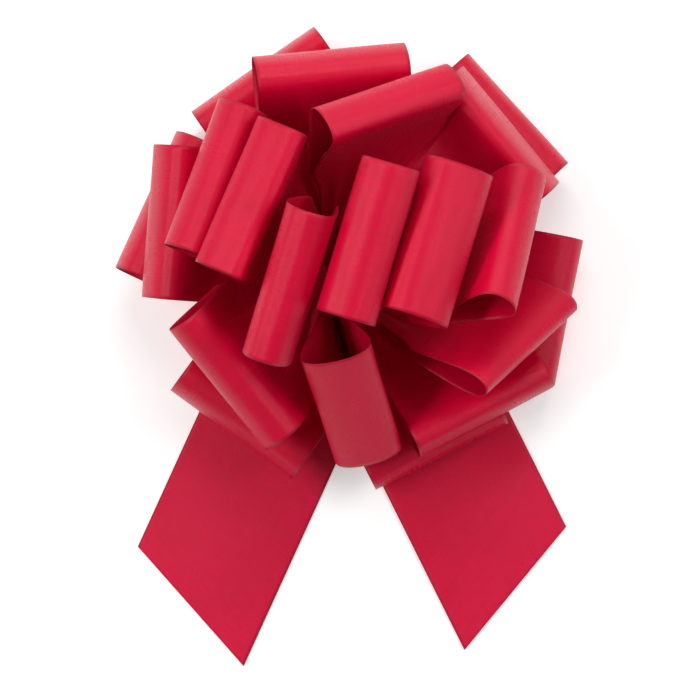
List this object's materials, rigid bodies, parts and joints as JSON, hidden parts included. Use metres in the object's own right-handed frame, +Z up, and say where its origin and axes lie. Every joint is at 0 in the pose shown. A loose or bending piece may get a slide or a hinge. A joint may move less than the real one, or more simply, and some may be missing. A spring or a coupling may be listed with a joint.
{
  "type": "pull-string gift bow",
  "caption": "Gathered pull-string gift bow: a dome of wide satin ribbon loops swivelling on a central stack, with flat slant-cut tails.",
  "frame": {"origin": "on the surface that the bow lies on, at the middle of the knot's flat underside, on the axis of the pull ribbons", "axes": "+Z up from the surface along the pull ribbons, towards the crown of the bow; the tails lie towards -Y, and +X is the bow's right seen from above with the tails at the bottom"},
  "size_m": [0.1965, 0.2729, 0.1198],
  "materials": {
    "ribbon": "satin, fine cross grain, soft sheen",
    "tail": "satin, fine cross grain, softer sheen lying flat",
    "pull_ribbon": "satin narrow ribbon"
  },
  "bodies": {
    "stack": {"knot": "pull_ribbon", "pull_ribbon_1": "pull_ribbon", "pull_ribbon_2": "pull_ribbon", "anchor_tab": "pull_ribbon"},
    "base_loop_1": {"base_loop_1": "ribbon"},
    "base_loop_2": {"base_loop_2": "ribbon"},
    "base_loop_3": {"base_loop_3": "ribbon"},
    "base_loop_4": {"base_loop_4": "ribbon"},
    "base_loop_5": {"base_loop_5": "ribbon"},
    "base_loop_6": {"base_loop_6": "ribbon"},
    "middle_loop_1": {"middle_loop_1": "ribbon"},
    "middle_loop_2": {"middle_loop_2": "ribbon"},
    "middle_loop_3": {"middle_loop_3": "ribbon"},
    "middle_loop_4": {"middle_loop_4": "ribbon"},
    "middle_loop_5": {"middle_loop_5": "ribbon"},
    "middle_loop_6": {"middle_loop_6": "ribbon"},
    "crown_loop_1": {"crown_loop_1": "ribbon"},
    "crown_loop_2": {"crown_loop_2": "ribbon"},
    "crown_loop_3": {"crown_loop_3": "ribbon"},
    "crown_loop_4": {"crown_loop_4": "ribbon"},
    "crown_loop_5": {"crown_loop_5": "ribbon"},
    "crown_loop_6": {"crown_loop_6": "ribbon"},
    "crown_loop_7": {"crown_loop_7": "ribbon"},
    "crown_loop_8": {"crown_loop_8": "ribbon"},
    "left_tail": {"left_tail": "tail"},
    "right_tail": {"right_tail": "tail"}
  },
  "joints": [
    {"name": "base_loop_1_swivel", "type": "hinge", "parent": "stack", "child": "base_loop_1", "pos_m": [0, 0, 0], "axis": [0, 0, 1], "range_deg": [-3, 3]},
    {"name": "base_loop_2_swivel", "type": "hinge", "parent": "stack", "child": "base_loop_2", "pos_m": [0, 0, 0], "axis": [0, 0, 1], "range_deg": [-3, 3]},
    {"name": "base_loop_3_swivel", "type": "hinge", "parent": "stack", "child": "base_loop_3", "pos_m": [0, 0, 0], "axis": [0, 0, 1], "range_deg": [-3, 3]},
    {"name": "base_loop_4_swivel", "type": "hinge", "parent": "stack", "child": "base_loop_4", "pos_m": [0, 0, 0], "axis": [0, 0, 1], "range_deg": [-3, 3]},
    {"name": "base_loop_5_swivel", "type": "hinge", "parent": "stack", "child": "base_loop_5", "pos_m": [0, 0, 0], "axis": [0, 0, 1], "range_deg": [-3, 3]},
    {"name": "base_loop_6_swivel", "type": "hinge", "parent": "stack", "child": "base_loop_6", "pos_m": [0, 0, 0], "axis": [0, 0, 1], "range_deg": [-3, 3]},
    {"name": "middle_loop_1_swivel", "type": "hinge", "parent": "stack", "child": "middle_loop_1", "pos_m": [0, 0, 0], "axis": [0, 0, 1], "range_deg": [-2, 3]},
    {"name": "middle_loop_2_swivel", "type": "hinge", "parent": "stack", "child": "middle_loop_2", "pos_m": [0, 0, 0], "axis": [0, 0, 1], "range_deg": [-3, 3]},
    {"name": "middle_loop_3_swivel", "type": "hinge", "parent": "stack", "child": "middle_loop_3", "pos_m": [0, 0, 0], "axis": [0, 0, 1], "range_deg": [-1.5, 3]},
    {"name": "middle_loop_4_swivel", "type": "hinge", "parent": "stack", "child": "middle_loop_4", "pos_m": [0, 0, 0], "axis": [0, 0, 1], "range_deg": [-1, 3]},
    {"name": "middle_loop_5_swivel", "type": "hinge", "parent": "stack", "child": "middle_loop_5", "pos_m": [0, 0, 0], "axis": [0, 0, 1], "range_deg": [-3, 2.5]},
    {"name": "middle_loop_6_swivel", "type": "hinge", "parent": "stack", "child": "middle_loop_6", "pos_m": [0, 0, 0], "axis": [0, 0, 1], "range_deg": [-3, 3]},
    {"name": "crown_loop_1_swivel", "type": "hinge", "parent": "stack", "child": "crown_loop_1", "pos_m": [0, 0, 0], "axis": [0, 0, 1], "range_deg": [-3, 1.5]},
    {"name": "crown_loop_2_swivel", "type": "hinge", "parent": "stack", "child": "crown_loop_2", "pos_m": [0, 0, 0], "axis": [0, 0, 1], "range_deg": [-3, 3]},
    {"name": "crown_loop_3_swivel", "type": "hinge", "parent": "stack", "child": "crown_loop_3", "pos_m": [0, 0, 0], "axis": [0, 0, 1], "range_deg": [-3, 1]},
    {"name": "crown_loop_4_swivel", "type": "hinge", "parent": "stack", "child": "crown_loop_4", "pos_m": [0, 0, 0], "axis": [0, 0, 1], "range_deg": [-3, 1.5]},
    {"name": "crown_loop_5_swivel", "type": "hinge", "parent": "stack", "child": "crown_loop_5", "pos_m": [0, 0, 0], "axis": [0, 0, 1], "range_deg": [-1.5, 2]},
    {"name": "crown_loop_6_swivel", "type": "hinge", "parent": "stack", "child": "crown_loop_6", "pos_m": [0, 0, 0], "axis": [0, 0, 1], "range_deg": [-2, 3]},
    {"name": "crown_loop_7_swivel", "type": "hinge", "parent": "stack", "child": "crown_loop_7", "pos_m": [0, 0, 0], "axis": [0, 0, 1], "range_deg": [-2.5, 2.5]},
    {"name": "crown_loop_8_swivel", "type": "hinge", "parent": "stack", "child": "crown_loop_8", "pos_m": [0, 0, 0], "axis": [0, 0, 1], "range_deg": [-3, 2]},
    {"name": "left_tail_swivel", "type": "hinge", "parent": "stack", "child": "left_tail", "pos_m": [0, 0, 0], "axis": [0, 0, 1], "range_deg": [-15, 1]},
    {"name": "right_tail_swivel", "type": "hinge", "parent": "stack", "child": "right_tail", "pos_m": [0, 0, 0], "axis": [0, 0, 1], "range_deg": [-1, 15]}
  ]
}
